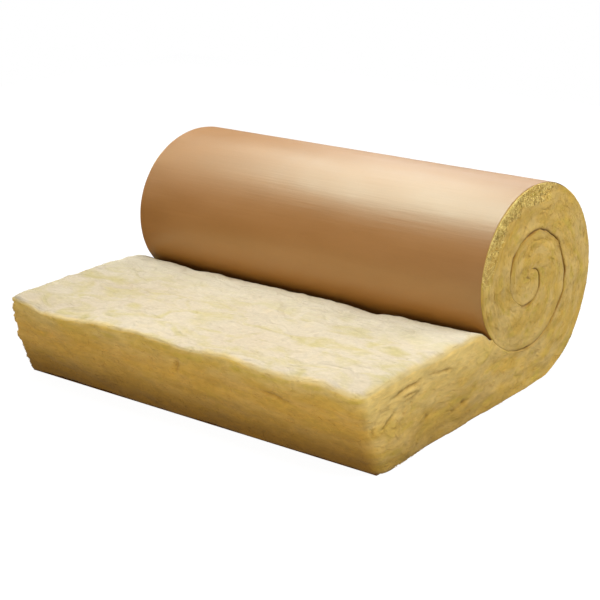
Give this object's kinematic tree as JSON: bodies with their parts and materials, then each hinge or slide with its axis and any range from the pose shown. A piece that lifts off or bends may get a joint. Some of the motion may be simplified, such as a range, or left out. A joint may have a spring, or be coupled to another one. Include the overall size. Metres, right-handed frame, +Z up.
{
  "type": "insulation roll",
  "caption": "Roll of kraft-faced glass wool insulation, part unrolled: the open end lies flat and lofted on its paper facing, the rest is wound up behind it.",
  "frame": {"origin": "bottom centre of the bounding box, on the floor the roll lies on", "axes": "+X across the blanket's width, along the roll's axis; +Y from the open end towards the roll; +Z up"},
  "size_m": [1.2, 1.1368, 0.5798],
  "materials": {
    "glass_wool": "matt layered fibres, pale cream on the lofted top and golden on the cut sides",
    "kraft_paper": "satin, smooth brown kraft paper"
  },
  "bodies": {
    "root": {"glass_wool_blanket": "glass_wool", "kraft_facing": "kraft_paper"}
  },
  "joints": []
}
